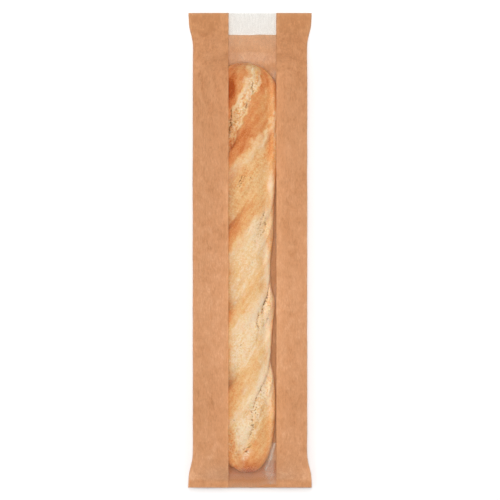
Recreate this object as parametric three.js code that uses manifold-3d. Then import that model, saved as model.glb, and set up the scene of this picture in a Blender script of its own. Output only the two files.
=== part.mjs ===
// A baguette in its kraft paper bag, lying with the bag's clear window up.
// Three pieces: the loaf, the folded paper of the bag, and the strip of film that
// closes the long window in its front.
// Millimetres. +X runs across the bag, +Y towards its mouth, +Z up. The origin is
// under the middle of the bag, on the surface that it lies on.
import * as THREE from "three";
import Module from "manifold-3d";
import { mergeVertices } from "three/addons/utils/BufferGeometryUtils.js";

// ---- Bag ----
const BAG_LENGTH = 610;
const BAG_FLAT_WIDTH = 158.6; // across each flat end
const BAG_FILLED_WIDTH = 146.4; // where the loaf draws its sides in
const FLARE_FLAT = 14; // stays at the flat width this far from each end
const FLARE_LENGTH = 44; // and has the filled width from here on
const FLARE_TAPER = 0.008; // share of the flare lost with each millimetre from the end
const MOUTH_LIP = 28; // the front reaches this far past the back at the mouth
const HEM_LENGTH = 8; // the bonded strip across the closed end
const PAPER = 0.6;
const FOLD_THICKNESS = 1.8; // both layers at a side fold
const END_STACK = 3.6; // all layers at the middle of each flat end
const WINDOW_LEFT = -27.5;
const WINDOW_RIGHT = 33.7;

// ---- Film ----
const FILM = 0.4;
const FILM_GAP = 0.6; // between the film and the paper over it
const FILM_MARGIN = 6; // held under the paper on each side of the window
const HEM_GAP = 0.35; // between the film and the bonded strip under it
const BOND_INSET = 2; // the bonds beside the film keep this far from it

// ---- Loaf ----
const LOAF_LENGTH = 525;
const LOAF_MIDDLE = -23; // its middle, on Y
const LOAF_WIDTH = 73;
const LOAF_HEIGHT = 48;
const LOAF_WIDEST = 0.42; // of its height, where it is widest
const LOAF_OFFSET = -3; // its axis lies this far to the left of the bag's
const LOAF_BOW = 4.5; // and bends this much further to the left at half length
const SEAT_GAP = 0.4; // between the loaf and the paper under it
const BASE_SQUARENESS = 3.2; // superellipse exponent of the lower half: 2 is round
const MOUTH_NOSE = 32; // length of the rounding at the mouth end
const HEM_NOSE = 82; // and at the closed end
const NOSE_ROUNDNESS = 2.1; // superellipse exponent of both
const NOSE_DROP = 4; // the tips lie this much under the widest line
const MOUTH_SKEW = 5; // the left of the mouth end reaches this much further
const RELIEF_END_FADE = 30; // relief grows to full depth this far from a tip
const RELIEF_FLANK_FADE = [0.9, 1.5]; // and fades out between these angles
const CLIMB_TURN = 0.35; // a ridge's climb changes within this angle of the top line

// The scores opened into spiral valleys between ridges of smooth crust. Each ridge
// crosses the top line at a place on Y, and climbs towards the mouth on its way
// from left to right: place, then the climb per radian on the left and right flanks.
const RIDGES = [
  [318, 50, 50],
  [228, 54, 42],
  [152, 42, 62],
  [45, 44, 40],
  [-65, 32, 58],
  [-168, 33, 56],
  [-268, 33, 54],
  [-362, 40, 50],
];

// How far the right side swells past the plain loaf, at places on Y.
const SIDE_SWELL = [
  [-231, 0],
  [-195, 1.8],
  [-165, 0.8],
  [-142, -3.2],
  [-105, -0.4],
  [-68, 1.7],
  [-45, -1.9],
  [-22, -2.8],
  [20, 0.8],
  [60, 1.6],
  [130, 4.6],
  [201, 2],
  [240, 1],
];

// ---- How the filled bag lies ----
const CREST = LOAF_HEIGHT + 5.2; // top of the paper's surface over the loaf
const TENT_ROUNDING = 0.5; // how softly the front bends over the loaf
const FOLD_HEIGHT = 20; // of the side folds along the loaf
const HEM_HEIGHT = 12; // of the closed end, lifted by the loaf's nose
const MOUTH_HEIGHT = 2.4; // of the flat mouth
const FLAT_BASE = 0.38; // share of the half width that lies on the surface
const BASE_CURL = 1.5; // how sharply the back then curls up to the fold

// ---- Fineness ----
// Rows across the bag: distances from the closed end and from the mouth, close
// together where the ends flatten, and evenly spaced between.
const HEM_ROWS = [0, 4, HEM_LENGTH, 12, 16, 20, 25, 30, 36, 44, 54, 66, 80, 100];
const MOUTH_ROWS = [0, 8, 16, MOUTH_LIP, 34, 40, 46, 53, 60, 68, 76, 86, 96, 110];
const MIDDLE_ROWS = 9;
const PANEL_STEPS = 6;
const BACK_STEPS = 14;
const FILM_STEPS = 11;
const LOAF_TOP_STEPS = 24; // round the upper half
const LOAF_BASE_STEPS = 10; // and round the lower one
const LOAF_LENGTH_STEPS = 96;
const TIP_CROWDING = 0.7; // how much the stations crowd towards the tips, under 1

const HALF_LENGTH = BAG_LENGTH / 2;
const BACK_END = HALF_LENGTH - MOUTH_LIP;

const clamp = THREE.MathUtils.clamp;
const mix = THREE.MathUtils.lerp;
const smooth = THREE.MathUtils.smoothstep;

// A smooth curve through [place, value] knots, level at both ends.
function curveThrough(knots) {
  const slopes = knots.map(([x, y], k) => {
    if (k === 0 || k === knots.length - 1) return 0;
    const before = (y - knots[k - 1][1]) / (x - knots[k - 1][0]);
    const after = (knots[k + 1][1] - y) / (knots[k + 1][0] - x);
    return before * after <= 0 ? 0 : (2 * before * after) / (before + after);
  });
  return (at) => {
    const x = clamp(at, knots[0][0], knots[knots.length - 1][0]);
    const next = Math.max(1, knots.findIndex(([place]) => place >= x));
    const [x0, y0] = knots[next - 1];
    const [x1, y1] = knots[next];
    const span = x1 - x0;
    const t = (x - x0) / span;
    const rise = t * t * (3 - 2 * t);
    return (
      mix(y0, y1, rise) +
      span * t * (1 - t) * ((1 - t) * slopes[next - 1] - t * slopes[next])
    );
  };
}

// ---- Loaf ----

const LOAF_START = LOAF_MIDDLE - LOAF_LENGTH / 2; // its tip at the closed end
const LOAF_END = LOAF_MIDDLE + LOAF_LENGTH / 2; // its tip at the mouth

// 0 at a tip, 1 where the loaf has its full section.
function noseShare(y) {
  const power = NOSE_ROUNDNESS;
  const round = (inside, nose) =>
    (1 - (1 - clamp(inside / nose, 0, 1)) ** power) ** (1 / power);
  return round(y - LOAF_START, HEM_NOSE) * round(LOAF_END - y, MOUTH_NOSE);
}

function loafAxis(y) {
  const along = (2 * (y - LOAF_MIDDLE)) / LOAF_LENGTH;
  return LOAF_OFFSET - LOAF_BOW * (1 - along * along);
}

// Height of the crust over the plain loaf, once round the cycle from one ridge to the
// next: ridge, floury ear, crack, torn dough swelling up, valley.
const scoreRelief = curveThrough([
  [0, 1.2],
  [0.16, 1],
  [0.33, 1.5],
  [0.43, -1.3],
  [0.52, -0.2],
  [0.64, 0.9],
  [0.8, -2],
  [0.9, 0.2],
  [1, 1.2],
]);
const swellRight = curveThrough(SIDE_SWELL);

function ridgePlace([top, leftClimb, rightClimb], angle) {
  return top + angle * mix(leftClimb, rightClimb, smooth(angle, -CLIMB_TURN, CLIMB_TURN));
}

// 0 at a ridge, growing to 1 at the next one towards the closed end.
function cycleAt(y, angle) {
  const places = RIDGES.map((ridge) => ridgePlace(ridge, angle));
  const next = clamp(
    places.findIndex((place) => place <= y),
    1,
    places.length - 1,
  );
  return clamp((places[next - 1] - y) / (places[next - 1] - places[next]), 0, 1);
}

function crustRelief(y, angle) {
  const flanks = 1 - smooth(Math.abs(angle), ...RELIEF_FLANK_FADE);
  const fromTip = Math.min(y - LOAF_START, LOAF_END - y);
  const ends = smooth(fromTip, 0, RELIEF_END_FADE);
  return scoreRelief(cycleAt(y, angle)) * flanks * ends;
}

// A point of the crust: angle 0 is the top line and a quarter turn the right side.
function crustPoint(y, angle) {
  const nose = noseShare(y);
  const widest = LOAF_HEIGHT * LOAF_WIDEST;
  const level = PAPER + SEAT_GAP + widest - NOSE_DROP * (1 - nose);
  const s = Math.sin(angle);
  const c = Math.cos(angle);
  const power = c >= 0 ? 1 : 2 / BASE_SQUARENESS;
  const across = Math.sign(s) * Math.abs(s) ** power;
  const up = Math.sign(c) * Math.abs(c) ** power;
  const height = (c >= 0 ? LOAF_HEIGHT - widest : widest - NOSE_DROP * (1 - nose)) * nose;
  const relief = crustRelief(y, angle);
  const half = LOAF_WIDTH / 2 + (s > 0 ? swellRight(y) * s * s : 0);
  const nearMouth = smooth(y, LOAF_END - 2 * MOUTH_NOSE, LOAF_END);
  return [
    loafAxis(y) + half * nose * across + relief * s,
    y - MOUTH_SKEW * nearMouth * nose * across,
    level + height * up + relief * c,
  ];
}

function loafStation(step) {
  const t = step / LOAF_LENGTH_STEPS;
  const eased = t - (TIP_CROWDING * Math.sin(2 * Math.PI * t)) / (2 * Math.PI);
  return mix(LOAF_START, LOAF_END, eased);
}

function loafAngle(step) {
  const fromLeft = step / LOAF_TOP_STEPS - 0.5;
  if (step <= LOAF_TOP_STEPS) return Math.PI * fromLeft;
  return Math.PI * (0.5 + (step - LOAF_TOP_STEPS) / LOAF_BASE_STEPS);
}

function loaf() {
  const points = [];
  const faces = [];
  const ring = LOAF_TOP_STEPS + LOAF_BASE_STEPS;
  for (let j = 1; j < LOAF_LENGTH_STEPS; j++) {
    for (let i = 0; i < ring; i++) {
      points.push(...crustPoint(loafStation(j), loafAngle(i)));
    }
  }
  const rings = LOAF_LENGTH_STEPS - 1;
  for (let j = 0; j < rings - 1; j++) {
    for (let i = 0; i < ring; i++) {
      const a = j * ring + i;
      const b = j * ring + ((i + 1) % ring);
      faces.push(a, b, b + ring, a, b + ring, a + ring);
    }
  }
  const tips = points.length / 3;
  points.push(...crustPoint(LOAF_START, 0), ...crustPoint(LOAF_END, 0));
  const last = (rings - 1) * ring;
  for (let i = 0; i < ring; i++) {
    const next = (i + 1) % ring;
    faces.push(tips, next, i, tips + 1, last + i, last + next);
  }
  return solidGeometry(points, faces);
}

// ---- Shape of the filled bag ----

function halfWidth(y) {
  const fromEnd = HALF_LENGTH - Math.abs(y);
  const flare = (1 - FLARE_TAPER * fromEnd) * (1 - smooth(fromEnd, FLARE_FLAT, FLARE_LENGTH));
  return mix(BAG_FILLED_WIDTH, BAG_FLAT_WIDTH, flare) / 2;
}

// Height of the side folds, of the front over the loaf's axis and of the back under
// it, each from the closed end to the mouth.
const foldHeight = curveThrough([
  [-HALF_LENGTH, HEM_HEIGHT + FOLD_THICKNESS / 2],
  [-HALF_LENGTH + 60, FOLD_HEIGHT],
  [HALF_LENGTH - 90, FOLD_HEIGHT],
  [HALF_LENGTH - 14, MOUTH_HEIGHT],
  [HALF_LENGTH, MOUTH_HEIGHT],
]);
const frontHeight = curveThrough([
  [-HALF_LENGTH, HEM_HEIGHT + END_STACK],
  [-HALF_LENGTH + 8, HEM_HEIGHT + END_STACK + 1.5],
  [-HALF_LENGTH + 20, 0.57 * CREST],
  [-HALF_LENGTH + 30, 0.75 * CREST],
  [-HALF_LENGTH + 46, 0.91 * CREST],
  [-HALF_LENGTH + 78, CREST],
  [HALF_LENGTH - 105, CREST],
  [HALF_LENGTH - 82, 0.96 * CREST],
  [HALF_LENGTH - 70, 0.82 * CREST],
  [HALF_LENGTH - 48, 0.36 * CREST],
  [HALF_LENGTH - 20, MOUTH_HEIGHT - FOLD_THICKNESS / 2 + END_STACK],
  [HALF_LENGTH, MOUTH_HEIGHT - FOLD_THICKNESS / 2 + END_STACK - 0.4],
]);
const backHeight = curveThrough([
  [-HALF_LENGTH, HEM_HEIGHT],
  [-HALF_LENGTH + 56, 0],
  [HALF_LENGTH - 80, 0],
  [BACK_END, MOUTH_HEIGHT - FOLD_THICKNESS / 2],
  [HALF_LENGTH, MOUTH_HEIGHT - FOLD_THICKNESS / 2],
]);

// The paper's outer surface on the front: a tent over the loaf, straight down to the
// folds and rounded where it bends over the crust.
function frontSurface(x, y) {
  const axis = loafAxis(clamp(y, LOAF_START, LOAF_END));
  const edge = foldHeight(y) + FOLD_THICKNESS / 2;
  const reach = x > axis ? halfWidth(y) - axis : halfWidth(y) + axis;
  const share = Math.abs(x - axis) / reach;
  const drop = Math.hypot(share, TENT_ROUNDING) - TENT_ROUNDING;
  const full = Math.hypot(1, TENT_ROUNDING) - TENT_ROUNDING;
  return mix(frontHeight(y), edge, drop / full);
}

// The paper's outer surface on the back: flat under the loaf, curling up to the folds.
function backSurface(x, y) {
  const share = clamp((Math.abs(x) / halfWidth(y) - FLAT_BASE) / (1 - FLAT_BASE), 0, 1);
  const edge = foldHeight(y) - FOLD_THICKNESS / 2;
  return mix(backHeight(y), edge, share ** BASE_CURL);
}

// A point under the front or over the back, at a depth measured square to the paper.
function inside(surface, x, y, depth) {
  const step = 0.5;
  const slopeX = (surface(x + step, y) - surface(x - step, y)) / (2 * step);
  const slopeY = (surface(x, y + step) - surface(x, y - step)) / (2 * step);
  const down = surface === frontSurface ? -1 : 1;
  return surface(x, y) + down * depth * Math.hypot(1, slopeX, slopeY);
}

// From the closed end to the mouth.
function bagRows() {
  const atHem = HEM_ROWS.map((step) => -HALF_LENGTH + step);
  const atMouth = MOUTH_ROWS.map((step) => HALF_LENGTH - step).reverse();
  const middle = Array.from({ length: MIDDLE_ROWS }, (_, k) =>
    mix(atHem.at(-1), atMouth[0], (k + 1) / (MIDDLE_ROWS + 1)),
  );
  return [...atHem, ...middle, ...atMouth];
}

// ---- Sheets ----

function solidGeometry(points, faces) {
  const geometry = new THREE.BufferGeometry();
  geometry.setAttribute("position", new THREE.Float32BufferAttribute(points, 3));
  geometry.setIndex(faces);
  return geometry;
}

// The closed solid between two skins of one grid, with a wall along every edge of the
// cells that are kept. The outer skin's normal is (across) x (along).
function sheetSolid(across, along, outer, inner, keep = () => true) {
  const points = [];
  const faces = [];
  const row = across + 1;
  const skin = row * (along + 1);
  for (const pointAt of [outer, inner]) {
    for (let j = 0; j <= along; j++) {
      for (let i = 0; i <= across; i++) points.push(...pointAt(i, j));
    }
  }
  const out = (i, j) => j * row + i;
  const back = (i, j) => skin + j * row + i;
  const quad = (a, b, c, d) => faces.push(a, b, c, a, c, d);
  const kept = (i, j) => i >= 0 && i < across && j >= 0 && j < along && keep(i, j);
  for (let j = 0; j < along; j++) {
    for (let i = 0; i < across; i++) {
      if (!kept(i, j)) continue;
      quad(out(i, j), out(i + 1, j), out(i + 1, j + 1), out(i, j + 1));
      quad(back(i, j + 1), back(i + 1, j + 1), back(i + 1, j), back(i, j));
      if (!kept(i, j - 1)) quad(out(i + 1, j), out(i, j), back(i, j), back(i + 1, j));
      if (!kept(i, j + 1))
        quad(out(i, j + 1), out(i + 1, j + 1), back(i + 1, j + 1), back(i, j + 1));
      if (!kept(i - 1, j)) quad(out(i, j), out(i, j + 1), back(i, j + 1), back(i, j));
      if (!kept(i + 1, j))
        quad(out(i + 1, j + 1), out(i + 1, j), back(i + 1, j), back(i + 1, j + 1));
    }
  }
  return solidGeometry(points, faces);
}

// The paper goes once round the bag: from the window's right edge over the right
// fold, across the back, and over the left fold to the window's left edge.
function paperSheet(rows) {
  const backFrom = PANEL_STEPS + 1;
  const backTo = backFrom + BACK_STEPS;
  const across = backTo + 1 + PANEL_STEPS;
  const place = (i, j, depth) => {
    const y = rows[j];
    const half = halfWidth(y);
    const shrink = (half - depth) / half;
    if (i >= backFrom && i <= backTo) {
      const x = mix(half, -half, (i - backFrom) / BACK_STEPS);
      return [x * shrink, y, inside(backSurface, x, y, depth)];
    }
    const right = i < backFrom;
    const fromWindow = (right ? i : across - i) / PANEL_STEPS;
    const edge = right ? WINDOW_RIGHT : WINDOW_LEFT;
    const x = mix(edge, right ? half : -half, fromWindow);
    const drawnIn = mix(1, shrink, fromWindow);
    return [x * drawnIn, y, inside(frontSurface, x, y, depth)];
  };
  const isBack = (i) => i >= PANEL_STEPS && i < across - PANEL_STEPS;
  return sheetSolid(
    across,
    rows.length - 1,
    (i, j) => place(i, j, 0),
    (i, j) => place(i, j, PAPER),
    (i, j) => !isBack(i) || rows[j] < BACK_END,
  );
}

// The bond between front and back across the closed end, over part of its width and
// from a depth under the front.
function hemBond(rows, from, to, depth) {
  const along = rows.indexOf(-HALF_LENGTH + HEM_LENGTH);
  const x = (i) => mix(from, to, i / PANEL_STEPS);
  return sheetSolid(
    PANEL_STEPS,
    along,
    (i, j) => [x(i), rows[j], inside(frontSurface, x(i), rows[j], depth)],
    (i, j) => [x(i), rows[j], inside(backSurface, x(i), rows[j], PAPER / 2)],
  );
}

const FILM_LEFT = WINDOW_LEFT - FILM_MARGIN;
const FILM_RIGHT = WINDOW_RIGHT + FILM_MARGIN;
const FILM_TOP = PAPER + FILM_GAP; // depths of its faces under the front
const FILM_UNDERSIDE = FILM_TOP + FILM;

function filmSheet(rows) {
  const x = (i) => mix(FILM_LEFT, FILM_RIGHT, i / FILM_STEPS);
  return sheetSolid(
    FILM_STEPS,
    rows.length - 1,
    (i, j) => [x(i), rows[j], inside(frontSurface, x(i), rows[j], FILM_TOP)],
    (i, j) => [x(i), rows[j], inside(frontSurface, x(i), rows[j], FILM_UNDERSIDE)],
  );
}

// ---- Joining ----

const wasm = await Module();
wasm.setup();

function toSolid(geometry) {
  const merged = mergeVertices(geometry, 1e-4);
  return new wasm.Manifold(
    new wasm.Mesh({
      numProp: 3,
      vertProperties: merged.attributes.position.array,
      triVerts: new Uint32Array(merged.index.array),
    }),
  );
}

function toGeometry(solid) {
  const mesh = solid.getMesh();
  return solidGeometry(Array.from(mesh.vertProperties), Array.from(mesh.triVerts));
}

function paperBag(rows) {
  const fold = halfWidth(-HALF_LENGTH) - PAPER;
  const bonds = [
    hemBond(rows, FILM_RIGHT + BOND_INSET, fold, PAPER / 2),
    hemBond(rows, FILM_LEFT, FILM_RIGHT, FILM_UNDERSIDE + HEM_GAP),
    hemBond(rows, -fold, FILM_LEFT - BOND_INSET, PAPER / 2),
  ];
  return toGeometry(
    bonds.reduce((bag, bond) => bag.add(toSolid(bond)), toSolid(paperSheet(rows))),
  );
}

// ---- The part ----

const crust = new THREE.MeshStandardMaterial({ color: "#dca66a", roughness: 0.75 });
const kraft = new THREE.MeshStandardMaterial({ color: "#d29867", roughness: 0.9 });
const clearFilm = new THREE.MeshStandardMaterial({
  color: "#f2f0ec",
  roughness: 0.12,
  transparent: true,
  opacity: 0.25,
});

function piece(name, geometry, material) {
  const mesh = new THREE.Mesh(geometry, material);
  mesh.name = name;
  return mesh;
}

const rows = bagRows();
const baguette = new THREE.Group();
baguette.add(
  piece("loaf", loaf(), crust),
  piece("bag", paperBag(rows), kraft),
  piece("film", filmSheet(rows), clearFilm),
);
export default baguette;
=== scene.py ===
import math

import bpy
import numpy as np
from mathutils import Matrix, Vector, noise


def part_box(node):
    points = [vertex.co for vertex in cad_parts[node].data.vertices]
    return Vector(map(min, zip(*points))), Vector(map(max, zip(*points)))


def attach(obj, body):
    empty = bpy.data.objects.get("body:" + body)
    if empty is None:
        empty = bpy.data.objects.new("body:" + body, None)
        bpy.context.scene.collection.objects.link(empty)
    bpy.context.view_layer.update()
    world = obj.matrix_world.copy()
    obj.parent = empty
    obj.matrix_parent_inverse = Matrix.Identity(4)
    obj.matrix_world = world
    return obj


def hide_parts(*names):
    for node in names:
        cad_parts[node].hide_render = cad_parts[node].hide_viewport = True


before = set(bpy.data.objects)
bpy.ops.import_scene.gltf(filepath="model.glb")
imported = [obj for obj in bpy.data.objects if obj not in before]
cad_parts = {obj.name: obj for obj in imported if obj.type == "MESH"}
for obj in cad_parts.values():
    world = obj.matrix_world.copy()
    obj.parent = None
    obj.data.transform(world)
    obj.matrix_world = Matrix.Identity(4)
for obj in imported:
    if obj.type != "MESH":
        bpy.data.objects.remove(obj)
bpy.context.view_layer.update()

# Sizes are in millimetres and become metres when a mesh is made, but the inputs of
# nodes and the stage are in metres.
MM = 0.001
LIGHT_LEVEL = 1.25  # how brightly a white surface that faces up is lit


def box_mm(node):
    low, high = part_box(node)
    return np.array(low) / MM, np.array(high) / MM


# ---- Sizes of the bag ----

bag_high = box_mm("bag")[1]
film_low, film_high = box_mm("film")
loaf_low, loaf_high = box_mm("loaf")

HALF_LENGTH = bag_high[1]
HALF_FLAT_WIDTH = bag_high[0]  # across each flat end
HALF_FILLED_WIDTH = 73.2  # where the loaf draws the sides in
FLARE_FLAT = 14  # stays at the flat width this far from each end
FLARE_LENGTH = 44  # and has the filled width from here on
FLARE_TAPER = 0.008  # share of the flare lost with each millimetre from the end
MOUTH_LIP = 28  # the front reaches this far past the back at the mouth
BACK_END = HALF_LENGTH - MOUTH_LIP
FILM_MARGIN = 6  # of film under the paper on each side of the window
WINDOW_LEFT = film_low[0] + FILM_MARGIN
WINDOW_RIGHT = film_high[0] - FILM_MARGIN
PAPER = 0.3
FOLD_RADIUS = 0.9
FILM = 0.1
FILM_DEPTH = 0.42  # of the film's top under the paper's outer surface
CREST = 53.2  # height of the paper's surface over the loaf
TENT_ROUNDING = 0.5  # how softly it bends there, from 0 for a sharp ridge
FOLD_HEIGHT = 20  # of the side folds along the loaf
MOUTH_HEIGHT = 2.4  # and where the mouth lies flat
HEM_LIFT = 12  # of the closed end
HEM_LENGTH = 7  # of the strip that shuts it
HEM_ZONE = 40  # length over which the closed end opens out
PRESSED_RADIUS = 0.4  # of a fold at the closed end
FLAT_BASE = 0.38  # share of the half width that lies on the surface
BASE_CURL = 1.5  # power by which the back curls up from there

# ---- Sizes of the loaf ----

LOAF_START = loaf_low[1]  # its tip at the closed end
LOAF_END = loaf_high[1]  # its tip at the mouth
LOAF_MIDDLE = (LOAF_START + LOAF_END) / 2
LOAF_HALF_LENGTH = (LOAF_END - LOAF_START) / 2
LOAF_HALF_WIDTH = 36.5
LOAF_HEIGHT = 48
WIDEST = 0.42 * LOAF_HEIGHT
LOAF_LIFT = 1.0  # of its underside
LOAF_OFFSET = -3  # of its axis on X, at both tips
LOAF_BOW = 4.5  # how much further to the left its middle lies
BASE_SQUARENESS = 3.2  # power of the lower half's section, where 2 makes an ellipse
MOUTH_NOSE = 32  # length over which it rounds off at the mouth
HEM_NOSE = 72  # and at the closed end
NOSE_ROUNDNESS = 2.1  # power of both noses
NOSE_DROP = 4  # how much lower the widest line is at the tips
MOUTH_SKEW = 5  # how much further its left side reaches at the mouth


# ---- Curves and blends ----


def smooth(x, low, high):
    t = np.clip((x - low) / (high - low), 0, 1)
    return t * t * (3 - 2 * t)


def mix(a, b, share):
    return a + (b - a) * share


def curve_through(knots):
    """A smooth curve through (place, value) knots, level at both ends."""
    places, values = np.array(knots, float).T
    slopes = np.zeros(len(places))
    steps = np.diff(values) / np.diff(places)
    before, after = steps[:-1], steps[1:]
    rising = before * after > 0
    total = np.where(rising, before + after, 1)
    slopes[1:-1] = np.where(rising, 2 * before * after / total, 0)

    def curve(at):
        x = np.clip(at, places[0], places[-1])
        k = np.clip(np.searchsorted(places, x), 1, len(places) - 1)
        span = places[k] - places[k - 1]
        t = (x - places[k - 1]) / span
        bend = (1 - t) * slopes[k - 1] - t * slopes[k]
        return mix(values[k - 1], values[k], t * t * (3 - 2 * t)) + span * t * (1 - t) * bend

    return curve


def lumps(points, size, seed):
    """Soft noise from -1 to 1 at points, with lumps of about this size."""
    shift = Vector((seed * 7.3, seed * 3.1, seed * 1.7))
    return np.array([noise.noise(Vector(p) / size + shift) for p in points])


# ---- Meshes ----


def grid_faces(rows, cols, wrap=False):
    """Four-sided faces over rows x cols points, in rows, their normal cols x rows."""
    k = np.arange(rows * cols).reshape(rows, cols)
    left = k if wrap else k[:, :-1]
    right = np.roll(k, -1, axis=1) if wrap else k[:, 1:]
    return np.stack([left[:-1], right[:-1], right[1:], left[1:]], axis=-1)


def make_mesh(name, points, faces, **attributes):
    """A mesh of these faces, without the points that none of them uses."""
    used = np.unique([k for face in faces for k in face])
    place = np.zeros(len(points), int)
    place[used] = np.arange(len(used))
    mesh = bpy.data.meshes.new(name)
    corners = [place[list(face)].tolist() for face in faces]
    mesh.from_pydata((points[used] * MM).tolist(), [], corners)
    for title, values in attributes.items():
        data = mesh.attributes.new(title, "FLOAT", "POINT").data
        data.foreach_set("value", np.asarray(values, dtype=np.float32).ravel()[used])
    return mesh


def make_object(name, data):
    piece = bpy.data.objects.new(name, data)
    bpy.context.scene.collection.objects.link(piece)
    return piece


def make_plain(piece):
    """Turns a piece and its modifiers into a plain mesh, with smooth faces."""
    graph = bpy.context.evaluated_depsgraph_get()
    mesh = bpy.data.meshes.new_from_object(piece.evaluated_get(graph))
    piece.modifiers.clear()
    mesh.name = piece.name
    piece.data = mesh
    mesh.shade_smooth()


# ---- Node helpers ----


def put(tree, kind, inputs=None, **settings):
    """Adds a node. Each input is a value, or a socket or node to link, where a node
    stands for its first output."""
    made = tree.nodes.new(kind)
    for name, value in settings.items():
        setattr(made, name, value)
    for key, value in (inputs or {}).items():
        if isinstance(value, bpy.types.Node):
            value = value.outputs[0]
        if isinstance(value, bpy.types.NodeSocket):
            tree.links.new(value, made.inputs[key])
        else:
            made.inputs[key].default_value = value
    return made


def math_in(tree):
    def work(operation, *values, clamp=False):
        inputs = dict(enumerate(values))
        return put(tree, "ShaderNodeMath", inputs, operation=operation, use_clamp=clamp)

    return work


def mix_colour(tree, share, a, b):
    return put(tree, "ShaderNodeMix", {0: share, 6: a, 7: b}, data_type="RGBA").outputs[2]


def paint(red, green, blue, gain=(1, 1, 1)):
    """The colour of a surface that shows as these display values, from 0 to 255, where
    it faces up in the studio's light."""
    shares = [v / 255 for v in (red, green, blue)]
    shown = [v / 12.92 if v < 0.04045 else ((v + 0.055) / 1.055) ** 2.4 for v in shares]
    return [min(1, v * more / LIGHT_LEVEL) for v, more in zip(shown, gain)] + [1]


def ramp(tree, factor, stops, gain=(1, 1, 1)):
    """Colours along a factor, from stops of a place and the display values there."""
    made = put(tree, "ShaderNodeValToRGB", {0: factor})
    elements = made.color_ramp.elements
    while len(elements) < len(stops):
        elements.new(0.5)
    for element, (place, shown) in zip(elements, stops):
        element.position = place
        element.color = paint(*shown, gain)
    return made


def tint(tree, share, colour, gain):
    """A colour that is multiplied by a gain, for this share of it."""
    changed = put(tree, "ShaderNodeVectorMath", {0: colour, 1: gain}, operation="MULTIPLY")
    return mix_colour(tree, share, colour, changed)


def new_material(name):
    material = bpy.data.materials.new(name)
    material.use_nodes = True
    material.node_tree.nodes.clear()
    return material, material.node_tree


def place_on_object(tree, stretch=(1, 1, 1), turn=0.0):
    """Places on the object for a noise that is stretched this many times along its own
    axes, which are turned round Z."""
    coords = put(tree, "ShaderNodeTexCoord").outputs["Object"]
    inputs = {0: coords, 2: (0, 0, turn), 3: stretch}
    return put(tree, "ShaderNodeMapping", inputs, vector_type="TEXTURE")


def attribute(tree, name):
    return put(tree, "ShaderNodeAttribute", attribute_name=name).outputs["Fac"]


def sum_of_swings(tree, start, *noises):
    """A number with noises added, each a (source, weight) that swings both ways."""
    work = math_in(tree)
    total = start
    for source, weight in noises:
        total = work("ADD", total, work("MULTIPLY", work("SUBTRACT", source, 0.5), weight))
    return total


def noise_on(tree, coords, size_mm, detail=3.0, roughness=0.5, distortion=0.0):
    inputs = {
        "Vector": coords,
        "Scale": 1 / (size_mm * MM),
        "Detail": detail,
        "Roughness": roughness,
        "Distortion": distortion,
    }
    return put(tree, "ShaderNodeTexNoise", inputs)


# ---- Shape of the bag ----

# Heights along the bag: the side folds' middle line, the front over the loaf's axis
# and the back under it.
fold_height = curve_through([
    (-HALF_LENGTH, HEM_LIFT + 0.4), (-HALF_LENGTH + 60, FOLD_HEIGHT),
    (HALF_LENGTH - 90, FOLD_HEIGHT), (HALF_LENGTH - 14, MOUTH_HEIGHT),
    (HALF_LENGTH, MOUTH_HEIGHT),
])
front_height = curve_through([
    (-HALF_LENGTH, HEM_LIFT + 0.9), (-HALF_LENGTH + HEM_LENGTH, HEM_LIFT + 1.2),
    (-HALF_LENGTH + 20, 0.54 * CREST), (-HALF_LENGTH + 30, 0.74 * CREST),
    (-HALF_LENGTH + 46, 0.91 * CREST), (-HALF_LENGTH + 78, CREST),
    (HALF_LENGTH - 105, CREST), (HALF_LENGTH - 82, 0.96 * CREST),
    (HALF_LENGTH - 70, 0.82 * CREST), (HALF_LENGTH - 48, 0.36 * CREST),
    (HALF_LENGTH - 20, 5.1), (HALF_LENGTH, 4.7),
])
back_height = curve_through([
    (-HALF_LENGTH, HEM_LIFT), (-HALF_LENGTH + 56, 0), (HALF_LENGTH - 80, 0),
    (BACK_END, 1.5), (HALF_LENGTH, 1.5),
])


def half_width(y):
    from_end = HALF_LENGTH - np.abs(y)
    flare = (1 - FLARE_TAPER * from_end) * (1 - smooth(from_end, FLARE_FLAT, FLARE_LENGTH))
    return mix(HALF_FILLED_WIDTH, HALF_FLAT_WIDTH, flare)


def loaf_axis(y):
    along = np.clip((y - LOAF_MIDDLE) / LOAF_HALF_LENGTH, -1, 1)
    return LOAF_OFFSET - LOAF_BOW * (1 - along * along)


def fold_radius(y):
    """Half the thickness of a side fold, pressed thin in the closed end."""
    return mix(PRESSED_RADIUS, FOLD_RADIUS, smooth(y, -HALF_LENGTH, -HALF_LENGTH + HEM_ZONE))


def front_surface(x, y):
    """Outer surface of the front: a tent over the loaf, down to the folds."""
    axis = loaf_axis(y)
    edge = fold_height(y) + fold_radius(y)
    reach = half_width(y) - axis * np.sign(x - axis)
    share = np.abs(x - axis) / reach
    drop = np.hypot(share, TENT_ROUNDING) - TENT_ROUNDING
    full = np.hypot(1, TENT_ROUNDING) - TENT_ROUNDING
    return mix(front_height(y), edge, drop / full)


def back_surface(x, y):
    """Outer surface of the back: flat under the loaf, curling up to the folds."""
    share = np.clip((np.abs(x) / half_width(y) - FLAT_BASE) / (1 - FLAT_BASE), 0, 1)
    edge = fold_height(y) - fold_radius(y)
    return mix(back_height(y), edge, share**BASE_CURL)


# ---- Geometry Nodes: unevenness of a sheet ----


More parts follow.
